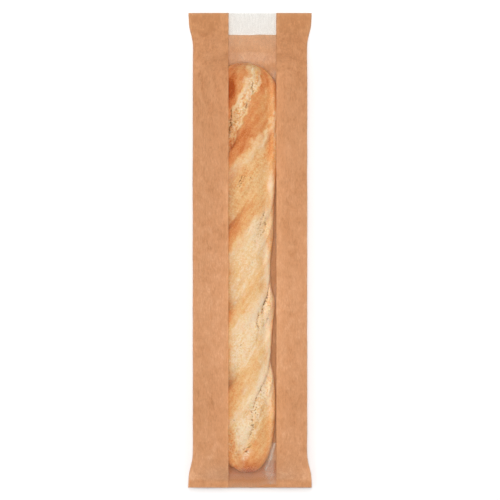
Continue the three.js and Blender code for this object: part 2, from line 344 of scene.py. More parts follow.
def new_tree(name, sizes):
    """A Geometry Nodes tree with a mesh, named sizes and a material going in."""
    tree = bpy.data.node_groups.new(name, "GeometryNodeTree")
    face = tree.interface
    face.new_socket("Geometry", in_out="INPUT", socket_type="NodeSocketGeometry")
    for size, value in sizes.items():
        kind = "NodeSocketInt" if size == "Seed" else "NodeSocketFloat"
        face.new_socket(size, in_out="INPUT", socket_type=kind).default_value = value
    face.new_socket("Material", in_out="INPUT", socket_type="NodeSocketMaterial")
    face.new_socket("Geometry", in_out="OUTPUT", socket_type="NodeSocketGeometry")
    return tree, tree.nodes.new("NodeGroupInput").outputs


def close_tree(tree, geometry, material):
    whole = put(tree, "GeometryNodeRealizeInstances", {0: geometry})
    finished = put(tree, "GeometryNodeSetMaterial", {0: whole, 2: material})
    put(tree, "NodeGroupOutput", {0: finished})


def add_tree(piece, tree, **values):
    """Puts a tree on a piece, with its inputs found by name and set by identifier."""
    modifier = piece.modifiers.new(tree.name, "NODES")
    modifier.node_group = tree
    sockets = {s.name: s.identifier for s in tree.interface.items_tree if s.in_out == "INPUT"}
    for name, value in values.items():
        modifier[sockets[name.replace("_", " ")]] = value


def named(tree, name):
    return put(tree, "GeometryNodeInputNamedAttribute", {0: name}, data_type="FLOAT")


def noise_field(tree, position, size, seed, detail=2.0):
    """Noise from -1 to 1 with lumps of this size, in metres."""
    work = math_in(tree)
    inputs = {"Vector": position, "W": seed, "Scale": work("DIVIDE", 1.0, size), "Detail": detail}
    made = put(tree, "ShaderNodeTexNoise", inputs, noise_dimensions="4D")
    return work("MULTIPLY_ADD", made, 4.0, -2.0)


def push_out(tree, geometry, distance):
    """Moves each point along its normal."""
    normal = put(tree, "GeometryNodeInputNormal")
    offset = put(tree, "ShaderNodeVectorMath", {0: normal, "Scale": distance}, operation="SCALE")
    return put(tree, "GeometryNodeSetPosition", {0: geometry, 3: offset})


PUCKER_STRETCH = (1, 0.12, 1)  # puckers run along the film


def sheet_tree():
    """Unevenness of a flat sheet: broad rumples, small cockles and, where the
    attribute loose says so, the puckers of film that nothing holds flat. There are
    none where the attribute pressed says that the sheet lies flat on the surface."""
    tree, size = new_tree("sheet unevenness", {
        "Rumple Size": 0.045,
        "Rumple Height": 0.0004,
        "Cockle Size": 0.009,
        "Cockle Height": 0.00006,
        "Pucker Size": 0.006,
        "Pucker Height": 0.0,
        "Seed": 3,
    })
    work = math_in(tree)
    position = put(tree, "GeometryNodeInputPosition")
    total = None
    for kind in ("Rumple", "Cockle"):
        field = noise_field(tree, position, size[f"{kind} Size"], size["Seed"])
        part = work("MULTIPLY", field, size[f"{kind} Height"])
        total = part if total is None else work("ADD", total, part)
    inputs = {0: position, 1: PUCKER_STRETCH}
    along = put(tree, "ShaderNodeVectorMath", inputs, operation="MULTIPLY")
    pucker = noise_field(tree, along, size["Pucker Size"], size["Seed"])
    loose = work("MULTIPLY", named(tree, "loose"), size["Pucker Height"])
    total = work("MULTIPLY_ADD", pucker, loose, total)
    total = work("MULTIPLY", total, work("SUBTRACT", 1.0, named(tree, "pressed")))
    close_tree(tree, push_out(tree, size["Geometry"], total), size["Material"])
    return tree


def thicken(piece, thickness):
    """Gives a sheet its wall, inwards from its outer surface."""
    wall = piece.modifiers.new("wall", "SOLIDIFY")
    wall.thickness = thickness * MM
    wall.offset = -1
    wall.use_even_offset = True


# ---- Kraft paper ----


SHINE_THROUGH = 0.45  # share of the light that goes into the paper and not off its face
THROUGH_COLOUR = (0.92, 0.78, 0.6, 1)
FACE_GAIN = (1.525, 1.67, 1.77)  # makes up for the light that goes in
GLUE_AND_SHADOW_TONE = 2.2  # how much darker the paper is where the closed end is glued and where a shadow under the loaf's tip is painted
GLUE_AND_SHADOW_GAIN = (1, 0.76, 0.55)  # and how its colour shifts
# How much darker the back is painted from the closed end on: glue in the closed end, and
# a painted shadow under the loaf's tip.
glued_along = curve_through([(-305, 0.4), (-294, 0.45), (-289, 0.9), (-280, 1), (-268, 0)])
# How much lighter the paper is along the bag, from the closed end to the mouth: partly its
# own tone, partly painted light and shade, most on the slopes near the closed end.
tone_and_light_along = curve_through([
    (-305, -0.1), (-297.5, -0.1), (-293, 0.3), (-284, 0.2), (-270, 0.05), (-244, -0.04),
    (-180, -0.05), (-141, 0.06), (-90, 0.07), (13, 0), (141, -0.11), (262, -0.21), (299, -0.38),
])
# Painted light: how much lighter still the back is painted, where the film lets light in
# past the loaf.
back_painted_light_along = curve_through([(215, 0), (236, 0.3), (252, 0.28), (275, 0.2)])
# The paper from dark to light, as display values.
KRAFT_TONES = [
    (0.0, (186, 126, 84)), (0.35, (207, 148, 104)),
    (0.65, (217, 159, 116)), (1.0, (234, 182, 142)),
]


def kraft_material():
    material, tree = new_material("kraft_paper")
    work = math_in(tree)
    fibres_along = place_on_object(tree, (1, 3, 1))
    plain = place_on_object(tree)
    bands_along = place_on_object(tree, (1, 80, 2.5))
    clouds = noise_on(tree, plain, 42, 3)
    mottle = noise_on(tree, plain, 11, 4, 0.6)
    fibres = noise_on(tree, fibres_along, 2.4, 5, 0.7)
    flecks = noise_on(tree, fibres_along, 1.0, 2, 0.5)
    bands = noise_on(tree, bands_along, 5, 2)
    layers = ((clouds, 0.42), (mottle, 0.75), (fibres, 1.5), (flecks, 1.0), (bands, 0.22))
    tone = sum_of_swings(tree, 0.5, *layers)
    # Painted shadow under the loaf's tip, with the glue of the closed end: darker, browner paper.
    tone = work("SUBTRACT", tone, work("MULTIPLY", attribute(tree, "glued"), GLUE_AND_SHADOW_TONE))
    # The attribute tone holds painted light and shade along the bag as well as the paper's tone.
    tone = work("ADD", tone, attribute(tree, "tone"))
    face = ramp(tree, tone, KRAFT_TONES, FACE_GAIN)
    face = tint(tree, attribute(tree, "glued"), face, GLUE_AND_SHADOW_GAIN)
    height = work("ADD", work("MULTIPLY", fibres, 0.7), work("MULTIPLY", flecks, 0.3))
    bump = put(tree, "ShaderNodeBump", {"Strength": 0.5, "Distance": 0.00012, "Height": height})
    look = {
        "Base Color": face,
        "Roughness": 0.86,
        "Specular IOR Level": 0.25,
        "Normal": bump,
    }
    surface = put(tree, "ShaderNodeBsdfPrincipled", look)
    glow = put(tree, "ShaderNodeBsdfTranslucent", {0: THROUGH_COLOUR})
    shaders = {0: SHINE_THROUGH, 1: surface, 2: glow}
    paper = put(tree, "ShaderNodeMixShader", shaders)
    put(tree, "ShaderNodeOutputMaterial", {0: paper})
    return material


# ---- Bag ----

HEM_ROWS = 32
MIDDLE_ROWS = 262
LIP_ROWS = 19
PANEL_COLUMNS = 30
FOLD_COLUMNS = 6
BACK_COLUMNS = 40
BACK_EDGE_WAVE = 0.7  # how far the back's cut edge wanders
BACK_EDGE_REACH = 5  # and how far from it the paper still does
PRESSED_REACH = 2.5  # height up to which the surface under the bag keeps it even


def bag_rows():
    """Places on Y of the rows, close together in the ends, one at the back's edge."""
    hem_end = -HALF_LENGTH + HEM_ZONE
    hem = np.linspace(-HALF_LENGTH, hem_end, HEM_ROWS + 1)[:-1]
    middle = np.linspace(hem_end, BACK_END, MIDDLE_ROWS)
    lip = np.linspace(BACK_END, HALF_LENGTH, LIP_ROWS + 1)[1:]
    return np.concatenate([hem, middle, lip])


def fold_points(y, start, turns):
    """Points of a right fold, from the height start at turn 0 to the fold's outermost
    line at a quarter turn."""
    radius = fold_radius(y)
    level = fold_height(y)
    outer = half_width(y) - radius
    return [(outer + radius * math.sin(t), level + (start - level) * math.cos(t)) for t in turns]


def half_section(y, side):
    """Points of one side, from the window's edge over the fold's outermost line."""
    edge = WINDOW_RIGHT if side > 0 else -WINDOW_LEFT
    outer = half_width(y) - fold_radius(y)
    across = [mix(edge, outer, t) for t in np.linspace(0, 1, PANEL_COLUMNS)]
    panel = [(x, front_surface(side * x, y)) for x in across]
    turns = np.linspace(0, math.pi / 2, FOLD_COLUMNS + 1)[1:]
    fold = fold_points(y, panel[-1][1], turns)
    return [(side * x, z) for x, z in panel + fold]


def back_section(y):
    """Points of the back, from just past the right fold to just before the left."""
    outer = half_width(y) - fold_radius(y)
    turns = np.linspace(math.pi / 2, 0, FOLD_COLUMNS + 1)[1:]
    curl = fold_points(y, back_surface(outer, y), turns)
    flat = [(x, back_surface(x, y)) for x in np.linspace(1, -1, BACK_COLUMNS + 1)[1:-1] * outer]
    return curl + flat + [(-x, z) for x, z in reversed(curl)]


def cut_edge(x):
    """How the back's cut edge swings to and fro across the bag, about from -1 to 1."""
    broad = noise.noise(Vector((x / 11, 0.4, 1.9)))
    return broad - 0.4 * noise.noise(Vector((x / 4, 3, 2)))


def make_bag(material, tree):
    rows = bag_rows()
    points = []
    for y in rows:
        right = half_section(y, 1)
        back = back_section(y)
        left = half_section(y, -1)[::-1]
        wave = BACK_EDGE_WAVE * math.exp(-(((y - BACK_END) / BACK_EDGE_REACH) ** 2))
        points += [(x, y, z) for x, z in right]
        points += [(x, y + wave * cut_edge(x), z) for x, z in back]
        points += [(x, y, z) for x, z in left]
    back_start, back_end = len(right), len(right) + len(back)
    cols = back_end + len(left)
    # No faces of the back past its cut edge.
    keep = np.ones((len(rows) - 1, cols - 1), bool)
    lip = rows[:-1] >= BACK_END - 0.01
    keep[lip, back_start - 1 : back_end] = False
    # On the back: the glue of the closed end and a painted shadow under the loaf's tip.
    glued = np.zeros((len(rows), cols))
    glued[:, back_start:back_end] = glued_along(rows)[:, None]
    # Tone along the bag, partly painted light and shade.
    tone = np.repeat(tone_and_light_along(rows)[:, None], cols, axis=1)
    # Painted light on the back, past the loaf's end at the mouth.
    tone[:, back_start:back_end] += back_painted_light_along(rows)[:, None]
    points = np.array(points)
    pressed = 1 - smooth(points[:, 2], PAPER, PRESSED_REACH)
    faces = grid_faces(len(rows), cols)[keep]
    mesh = make_mesh("kraft_bag", points, faces, glued=glued, tone=tone, pressed=pressed)
    bag = make_object("kraft_bag", mesh)
    add_tree(bag, tree, Material=material)
    thicken(bag, PAPER)
    make_plain(bag)
    return bag


# ---- Clear film ----

CLOSE_HAZE = 0.003  # how milky each face of the film is over the loaf
FREE_HAZE = 0.06  # and where it hangs free
CLEAR_TINT = (1, 1, 0.985, 1)
LIP_SHADE_TINT = (0.95, 0.947, 0.937, 1)  # of each face at the mouth's lip: painted shade, greying what shows through the film there
# Streaks of milky film where it is stretched, which also stand as painted reflections of its
# creases and as painted light over the shaded strip beside the loaf: from, to, half width
# and strength.
FILM_STREAKS_AND_REFLECTIONS = [
    ((31.3, -247), (26, -266), 1.5, 0.19), ((26, -266), (20, -280), 1.4, 0.12),
    ((28.3, -245), (25.7, -257), 0.7, 0.06), ((33, -262), (29, -277), 0.8, 0.05),
    ((30, -280), (25, -294), 0.8, 0.05), ((15.4, -284), (28, -289), 0.8, 0.05),
    ((32.6, 22), (33.2, -6), 0.6, 0.06), ((31.6, -44), (32.6, -72), 0.7, 0.06),
    ((21, -283), (27, -301), 1, 0.04), ((30.5, 219), (33.5, 228), 1.2, 0.05),
    ((-9.5, 243.5), (4, 238), 0.7, 0.05), ((4, 238), (17, 233), 0.8, 0.04),
    ((16, 236), (19, 246), 1.4, 0.03), ((-13.5, 250), (-9, 244), 0.8, 0.04),
]
# Wider cloudy patches, haze with painted reflection: middle, reach on X and Y, strength.
FILM_CLOUDS_AND_REFLECTIONS = [
    ((22, -277), (4, 7), 0.08), ((27, -268), (4, 16), 0.1), ((25, -285), (8, 12), 0.09),
    ((29.5, -300), (6, 10), 0.05), ((30, 224), (4, 9), 0.04), ((10, 246), (12, 6), 0.02),
]


def from_line(x, y, start, end):
    """Distance of points from a line between two points."""
    (x0, y0), (x1, y1) = start, end
    dx, dy = x1 - x0, y1 - y0
    share = np.clip(((x - x0) * dx + (y - y0) * dy) / (dx * dx + dy * dy), 0, 1)
    return np.hypot(x - x0 - share * dx, y - y0 - share * dy)


def film_material():
    material, tree = new_material("clear_film")
    work = math_in(tree)
    along = place_on_object(tree, (1, 5, 1))
    faint = noise_on(tree, along, 1.8, 3, 0.6)
    uneven = work("MULTIPLY_ADD", faint, 2.4, -0.2)
    # The film's haze, with painted reflections in its streaks and cloudy patches.
    haze = work("MULTIPLY", attribute(tree, "haze"), uneven, clamp=True)
    # Painted shade: the film is greyer at the mouth's lip.
    tint = mix_colour(tree, attribute(tree, "lip"), CLEAR_TINT, LIP_SHADE_TINT)
    clear = put(tree, "ShaderNodeBsdfTransparent", {0: tint})
    milk_and_reflection = put(tree, "ShaderNodeBsdfDiffuse", {0: paint(255, 242, 228), 1: 0.3})
    bump = put(tree, "ShaderNodeBump", {"Strength": 0.25, "Distance": 0.0004, "Height": faint})
    gloss = {"Color": (1, 1, 1, 1), "Roughness": 0.16, "Normal": bump}
    shine = put(tree, "ShaderNodeBsdfGlossy", gloss)
    facing = put(tree, "ShaderNodeLayerWeight", {"Blend": 0.5}).outputs["Facing"]
    mirror = work("MULTIPLY_ADD", work("POWER", facing, 4.0), 0.5, 0.012)
    hazy = put(tree, "ShaderNodeMixShader", {0: haze, 1: clear, 2: milk_and_reflection})
    film = put(tree, "ShaderNodeMixShader", {0: mirror, 1: hazy, 2: shine})
    put(tree, "ShaderNodeOutputMaterial", {0: film})
    return material


FILM_COLUMNS = 75
FILM_ROWS = 380
FILM_END_GAP = 0.3  # from the film's ends to the paper's
FINE_STEP = 0.8  # between its rows at the closed end
FINE_REACH = 26  # of these rows past the loaf's tip
SLOPE_STEP = 0.5  # over which the slope of the paper's surface is taken
PUCKER_HEIGHT = 0.00012


def make_film(material, tree):
    xs = np.linspace(film_low[0], film_high[0], FILM_COLUMNS)
    end = HALF_LENGTH - FILM_END_GAP
    fine_end = LOAF_START + FINE_REACH
    fine = np.arange(-end, fine_end, FINE_STEP)
    ys = np.append(fine, np.linspace(fine_end + FINE_STEP, end, FILM_ROWS))
    x, y = np.meshgrid(xs, ys)
    step = SLOPE_STEP
    slope_x = (front_surface(x + step, y) - front_surface(x - step, y)) / (2 * step)
    slope_y = (front_surface(x, y + step) - front_surface(x, y - step)) / (2 * step)
    z = front_surface(x, y) - FILM_DEPTH * np.sqrt(1 + slope_x**2 + slope_y**2)
    points = np.stack([x, y, z], axis=-1).reshape(-1, 3)
    past_loaf = smooth(y - LOAF_END, 0, 34) + smooth(LOAF_START - y, 6, 22)
    haze = mix(CLOSE_HAZE, FREE_HAZE, past_loaf)
    # Painted reflections and light in the film's streaks and cloudy patches.
    for start, end, width, strength in FILM_STREAKS_AND_REFLECTIONS:
        haze += strength * np.exp(-((from_line(x, y, start, end) / width) ** 2))
    for (cx, cy), (rx, ry), strength in FILM_CLOUDS_AND_REFLECTIONS:
        haze += strength * np.exp(-(((x - cx) / rx) ** 2) - ((y - cy) / ry) ** 2)
    loose = smooth(np.minimum(x - WINDOW_LEFT, WINDOW_RIGHT - x), 1, 6)
    # Where the film is greyed with painted shade, at the mouth's lip.
    lip = smooth(y, BACK_END - 1, BACK_END + 1)
    faces = grid_faces(len(ys), len(xs)).reshape(-1, 4)
    mesh = make_mesh("window_film", points, faces, haze=np.clip(haze, 0, 1), loose=loose, lip=lip)
    film = make_object("window_film", mesh)
    add_tree(film, tree, Pucker_Height=PUCKER_HEIGHT, Material=material)
    thicken(film, FILM)
    make_plain(film)
    return film


# ---- Loaf: zones of the crust ----

# Baked ridges from the mouth to the closed end. Each has the places on Y of its upper
# and lower edge at three angles round the loaf, and how strongly it is baked at its
# left and right end.
EDGE_ANGLES = (-30, 10, 50)
RIDGES = [
    {"upper": (262, 312, 352), "lower": (180, 229, 285), "bake": (0.52, 0.58)},
    {"upper": (130, 190, 248), "lower": (109, 135, 166), "bake": (0.64, 0.58)},
    {"upper": (32, 66, 84), "lower": (0, 38, 62), "bake": (0.57, 0.38)},
    {"upper": (-71, -43, -5), "lower": (-101, -70, -36), "bake": (0.41, 0.27)},
    {"upper": (-167, -143, -106), "lower": (-203, -178, -140), "bake": (0.4, 0.28)},
    {"upper": (-276, -246, -203), "lower": (-345, -320, -280), "bake": (0.45, 0.4)},
]
LOWER_EDGE = 0.2  # place of a ridge's lower edge in the cycle from ridge to ridge
UPPER_EDGE = 0.82  # and of the next ridge's upper edge

# Height of the crust over the plain loaf, round the cycle: ridge, thin lifted lip,
# crack, torn dough, valley, next ridge.
score_relief = curve_through([
    (0, 1.2), (0.2, 1.2), (0.3, 1.5), (0.36, 1.1), (0.44, -0.2), (0.5, -0.1), (0.62, 0.7),
    (0.76, -1.5), (0.82, -1.2), (0.9, 0.6), (1, 1.2),
])
# How much wider the loaf is along its right side, and along its left one.
right_swell = curve_through([
    (-231, 0), (-195, 1.8), (-165, 1.1), (-142, -3.2), (-105, -0.4), (-66, 2.3), (-45, -1.9),
    (-22, -2.8), (20, 0.8), (60, 1.6), (130, 4.6), (201, 2), (240, 1),
])
left_swell = curve_through([(-286, 0), (-281, 2), (-276, 8), (-268, 5), (-250, 0)])
# How baked the dough is between the ridges along the loaf, and at its left flank, which
# is partly more baked and partly painted shade.
plain_bake = curve_through([
    (-278, 0.42), (-262, 0.24), (-244, 0.13), (-160, 0.1), (-60, 0.12), (25, 0.15), (62, 0.3),
    (110, 0.3), (150, 0.22), (236, 0.2),
])
FLANK_BAKE_AND_SHADE = 0.36
HEM_TIP_BAKE = 0.28  # how much more the tip at the closed end is baked
MOUTH_TIP_BAKE = 0.1  # and the one at the mouth
# How rough the torn dough is in each valley, from the mouth to the closed end.
VALLEY_ROUGHNESS = (1.0, 0.32, 0.28, 0.38, 0.62, 0.45)
# How strongly the skin is baked across a ridge, and how torn the dough is.
baked_share = curve_through([
    (0, 1), (0.12, 0.95), (0.24, 0.4), (0.32, 0.1), (0.45, 0), (0.74, 0), (0.86, 0.8), (0.93, 1),
    (1, 1),
])
torn_share = curve_through([(0, 0), (0.34, 0), (0.44, 1), (0.7, 0.8), (0.82, 0), (1, 0)])
# Painted shade: how much darker and duller the crust is painted down the left flank, most
# in the groove before each ridge, over the cycle and along Y.
groove_shade_share = curve_through([
    (0, 0), (0.16, 0), (0.4, 0.6), (0.68, 0.65), (0.79, 1), (0.87, 0.8), (0.95, 0.2), (1, 0),
])
groove_shade_along = curve_through([
    (-262, 0), (-225, 0.3), (-195, 0.9), (-172, 1.3), (-154, 1.1), (-140, 0.5), (-112, 0.4),
    (-85, 0.7), (-60, 0.9), (0, 0.9), (28, 0.8), (60, 1.2), (100, 1.4), (130, 1.1), (240, 0.9),
])
# Where the lifted lip of a ridge is, which keeps its flour and gets a painted highlight.
lip_share = curve_through([(0, 0), (0.2, 0), (0.3, 1), (0.38, 0.6), (0.42, 0), (1, 0)])


def groove_share(within, degrees):
    """How deep a groove is at an angle: under a lip deepest at the right, over a ridge
    deepest at the left."""
    to_right = smooth(degrees, -25, 35)
    return np.where(within < 0.6, mix(0.3, 1.1, to_right), mix(1.7, 0.12, to_right))


def edge_place(places, degrees):
    """Place on Y of a zone's edge at an angle."""
    left, middle, right = places
    low, centre, high = EDGE_ANGLES
    before = (middle - left) / (centre - low)
    after = (right - middle) / (high - centre)
    turn = degrees - centre
    return middle + turn * mix(before, after, smooth(turn, -20, 20))


def cycle_at(y, degrees):
    """0 on the first ridge's middle, growing by 1 to each next ridge."""
    knots = []
    for k, ridge in enumerate(RIDGES):
        upper, lower = ridge["upper"], ridge["lower"]
        zone = (k - 1 + UPPER_EDGE, upper), (k, np.add(upper, lower) / 2), (k + LOWER_EDGE, lower)
        knots += [(share, edge_place(places, degrees)) for share, places in zone]
    knots = knots[1:]  # as the cycle starts on the first ridge's middle
    cycle = np.zeros_like(y)
    for (c0, y0), (c1, y1) in zip(knots, knots[1:]):
        share = np.clip((y0 - y) / (y0 - y1), 0, 1)
        cycle = np.where(y < y0, mix(c0, c1, share), cycle)
    return cycle


# ---- Loaf: shape ----


def nose_share(y):
    def rounded(inside, nose):
        return (1 - (1 - np.clip(inside / nose, 0, 1)) ** NOSE_ROUNDNESS) ** (1 / NOSE_ROUNDNESS)

    return rounded(y - LOAF_START, HEM_NOSE) * rounded(LOAF_END - y, MOUTH_NOSE)


def crust_points(y, angle, relief):
    """Points of the crust: angle 0 is the top line and a quarter turn the right side."""
    nose = nose_share(y)
    level = LOAF_LIFT + WIDEST - NOSE_DROP * (1 - nose)
    s, c = np.sin(angle), np.cos(angle)
    power = np.where(c >= 0, 1, 2 / BASE_SQUARENESS)
    across = np.sign(s) * np.abs(s) ** power
    up = np.sign(c) * np.abs(c) ** power
    height = np.where(c >= 0, LOAF_HEIGHT - WIDEST, WIDEST - NOSE_DROP * (1 - nose)) * nose
    half = LOAF_HALF_WIDTH + np.where(s > 0, right_swell(y), left_swell(y)) * s * s
    near_mouth = smooth(y, LOAF_END - 2 * MOUTH_NOSE, LOAF_END)
    x = loaf_axis(y) + half * nose * across + relief * s
    skewed = y - MOUTH_SKEW * near_mouth * nose * across
    return np.stack([x, skewed, level + height * up + relief * c], axis=-1)


# Open cracks: (angle, place on Y) points, half width, depth and how much of the dark line
# of painted shade is missing: 0 for a whole line and 1 for a few dots.
CRACKS = [
    ([(67, -46), (61, -53), (55, -59), (44, -68), (41, -75), (40, -80)], 1.0, 2.0, 0.2),
    ([(33, -81), (30, -84), (27, -90)], 0.7, 1.3, 0.3),
    ([(27, -93), (30, -100)], 0.65, 1.2, 0.2),
    ([(29, -103), (26, -112), (27, -120)], 0.45, 0.4, 1.3),
    ([(70, -147), (57, -154), (46, -164), (35, -173)], 0.6, 0.4, 1.5),
    ([(35, -173), (27, -182), (21, -191)], 0.7, 0.7, 0.75),
    ([(19, -194), (16, -202)], 0.6, 0.7, 1.1),
    ([(13, -207), (14, -212), (13, -218), (12, -229)], 0.6, 0.6, 1.0),
    ([(10, -232), (4, -241)], 0.6, 0.8, 0.9),
    ([(12, -249), (0, -252), (-10, -255)], 0.6, 0.8, 0.6),
    ([(-31, 158), (-33, 163), (-31, 170), (-32, 178)], 0.85, 2.0, 0.1),
    ([(-37, 150), (-35, 158)], 0.7, 1.6, 0.2),
    ([(0, 181), (1, 186)], 0.6, 1.0, 0.3),
    ([(13, 201), (10, 207), (12, 213)], 0.65, 0.8, 0.4),
    ([(43, 49), (40, 44), (37, 40)], 0.6, 0.7, 0.6),
    ([(34, 35), (32, 29)], 0.6, 0.7, 0.7),
    ([(45, 26), (40, 22), (35, 19)], 0.5, 0.6, 0.8),
    ([(-15, 82), (-9, 89), (-4, 95)], 0.6, 0.9, 0.6),
    ([(-10, 81), (-4, 88), (1, 95)], 0.55, 0.8, 0.65),
    ([(-1, 98), (2, 104)], 0.5, 0.6, 0.8),
]
# Small holes and blisters, with painted shade in them as in the cracks: angle, place on Y,
# radius, depth.
PORES = [
    (0, 183, 1.1, 1), (12, 92, 0.8, 0.5), (46, 35.5, 0.9, 0.9),
    (48, 32.5, 1.3, 1.2), (8, 26, 0.6, 0.5), (23, 10, 0.7, 0.5),
    (18, -16, 0.7, 0.4), (52, -92, 0.9, 0.6), (-8, -121, 0.9, 0.6),
    (22, -200, 0.8, 0.7), (-24, -217, 0.8, 0.5), (-2, -257, 0.9, 0.6),
]
MARK_REACH = 5  # the attribute mark falls from 1 to 0 over this many half widths
PORE_REACH = 0.8 * MARK_REACH  # and over this many radii of a pore
CRACK_WANDER = 0.9  # how far a crack's line swings to and fro
CRACK_FALL = 0.8  # how much further than its half width a crack's walls reach
PORE_FALL = 0.4  # and a pore's


def crust_marks(y, angle):
    """Depth of the cracks and pores, and how near their middle a point is."""
    side = LOAF_HALF_WIDTH * angle
    depth = np.zeros_like(y)
    mark = np.zeros_like(y)
    wander = CRACK_WANDER * lumps(np.stack([side, y, side * 0], axis=-1), 3.2, 5)
    for path, width, deep, missing in CRACKS:
        places = [(LOAF_HALF_WIDTH * math.radians(a), b) for a, b in path]
        lines = zip(places, places[1:])
        away = np.min([from_line(side, y + wander, p, q) for p, q in lines], axis=0)
        depth = np.maximum(depth, deep * np.exp(-((away / (CRACK_FALL + width)) ** 2)))
        mark = np.maximum(mark, 1 - (away / width + missing) / MARK_REACH)
    for degrees, place, radius, deep in PORES:
        away = np.hypot(side - LOAF_HALF_WIDTH * math.radians(degrees), y - place)
        depth = np.maximum(depth, deep * np.exp(-((away / (PORE_FALL + radius)) ** 2)))
        mark = np.maximum(mark, 1 - away / (PORE_REACH * radius))
    return depth, mark


# Patches that are baked more or less than the zone round them, a few of them painted shade
# or light at the loaf's edges: angle, place on Y, half width in degrees, half length, slant
# in millimetres per degree, change.
BAKE_PATCHES = [
    (-25, 235, 16, 4, 0, -0.08), (5, 233.5, 10, 7, 0, -0.33), (-32, 231, 22, 13, 0, 0.2),
    (-24, 229, 13, 8, 0, -0.13), (29, 229, 7, 4, 0, -0.09), (30, 228, 10, 12, 0.5, 0.2),
    (-11, 216, 4, 4, 0, 0.08), (30, 216, 5, 8, 0.6, 0.12), (44, 216, 8, 7, 0.5, 0.08),
    (4, 214, 8, 8, 0.6, 0.1), (62, 205, 12, 28, 0, -0.14), (40, 204, 3, 14, 2.4, -0.16),
    (-32, 201, 11, 18, 0.2, 0.5), (-13, 200, 8, 6, 0, 0.1), (49, 197, 6, 6, 0.5, 0.08),
    (0, 196, 6, 12, 0.8, 0.12), (-33, 192, 8, 7, 0, -0.28), (56, 190, 10, 22, 0, -0.12),
    (34, 189, 5, 5, 0.5, -0.06), (3, 187, 5, 6, 0, 0.1), (-36, 186, 8, 30, 0, 0.08),
    (-32, 179, 7, 7, 0, -0.18), (-25, 177, 9, 8, 0.3, 0.06), (-20, 175, 5, 6, 0.5, 0.08),
    (40, 173, 13, 5, 0.93, -0.1), (-31, 170, 9, 44, 0, 0.15), (-18, 166, 5, 6, 0.5, 0.11),
    (73, 159, 8, 9, 0, 0.13), (62, 156, 10, 34, 0, -0.12), (-12, 154, 7, 6, 0.8, -0.15),
    (5, 152, 32, 9, 0.63, 0.14), (32, 150, 12, 9, 0.5, 0.1), (11, 144, 6, 6, 0.6, 0.13),
    (28, 143, 8, 9, 0.5, 0.11), (-24, 142, 10, 8, 0.8, 0.2), (47, 142, 12, 8, 0.8, 0.16),
    (15, 139, 6, 5, 0, 0.11), (-32, 136, 7, 9, 0.5, 0.13), (58, 134, 12, 26, 0, 0.15),
    (-5, 133, 9, 6, 0.8, 0.18), (50, 128, 14, 13, 0.8, 0.2), (10, 104, 9, 6, 0, -0.12),
    (-30, 98, 8, 12, 0.5, 0.08), (-8, 98, 24, 11, 0, 0.13), (-24, 92, 12, 16, 0.5, 0.05),
    (58, 84, 9, 14, 0, -0.3), (-3, 81, 7, 5, 0, 0.08), (62, 76, 11, 24, 0, -0.12),
    (-28, 66, 9, 12, 0.5, 0.08), (47, 66, 6, 10, 0, -0.07), (-8, 64, 22, 12, 0.3, 0.05),
    (-16, 36, 12, 9, 1, 0.1), (6, 32, 13, 8, 0.8, 0.09), (-27, 30, 13, 14, 1, 0.1),
    (57, 12, 10, 9, 0, 0.2), (-5, 10, 16, 8, 0.6, 0.07), (34, -10, 11, 13, 0, 0.1),
    (56, -20, 12, 30, 0, -0.2), (-24, -26, 14, 13, 0, 0.13), (-19, -32, 11, 7, 0.3, 0.07),
    (-8, -41, 12, 6, 0.8, 0.09), (-7, -45, 9, 6, 0.3, 0.1), (42, -47, 12, 10, 0, 0.12),
    (36, -51, 8, 6, 0, 0.1), (41, -67, 6, 4, 0, -0.12), (57, -69, 6, 6, 0, 0.12),
    (-30, -82, 10, 12, 0.8, 0.1), (60, -100, 12, 36, 0, -0.06), (55, -115, 6, 7, 0, 0.09),
    (30, -118, 9, 10, 0, 0.07), (56, -118, 12, 26, 0, -0.2), (-22, -122, 6, 24, 0, 0.07),
    (19, -134, 6, 8, 0, 0.12), (5, -136, 12, 8, 0, 0.05), (36, -138, 10, 7, 0, -0.08),
    (-16, -154, 8, 6, 0.6, 0.11), (-9, -154, 10, 5, 0.7, 0.11), (8, -160, 10, 8, 0.6, -0.06),
    (54, -163, 6, 5, 0, 0.08), (-28, -178, 12, 18, 0.6, 0.1), (45, -182, 13, 12, 0, -0.07),
    (75, -186, 7, 13, 0, -0.13), (38, -202, 11, 13, 0, 0.16), (-6, -204, 10, 7, 0, 0.12),
    (4, -206, 7, 7, 0.5, 0.09), (24, -206, 5, 7, 0.5, -0.1), (-26, -210, 12, 16, 0, 0.08),
    (62, -215, 13, 30, 0, -0.15), (22, -222, 6, 8, 0.6, 0.12), (-25, -232, 9, 10, 0, 0.07),
    (14, -236, 4, 5, 0, 0.14), (10, -240, 9, 8, 0, 0.14), (-30, -247, 7, 9, 0.3, 0.14),
    (3, -247, 7, 4, 0, 0.13), (-23, -252, 9, 8, 0, 0.12), (-2, -257.5, 6, 2.5, 0, 0.4),
    (18, -258, 16, 12, 0.4, 0.08), (-30, -262, 13, 10, 0, 0.07), (-8, -262, 20, 9, 0, 0.08),
    (8, -267, 6, 5, 0, -0.08), (8, -277, 40, 8, 0, 0.05), (16, -278, 42, 9, 0, 0.2),
    (-46, -279, 10, 4, 0, 0.15),
]
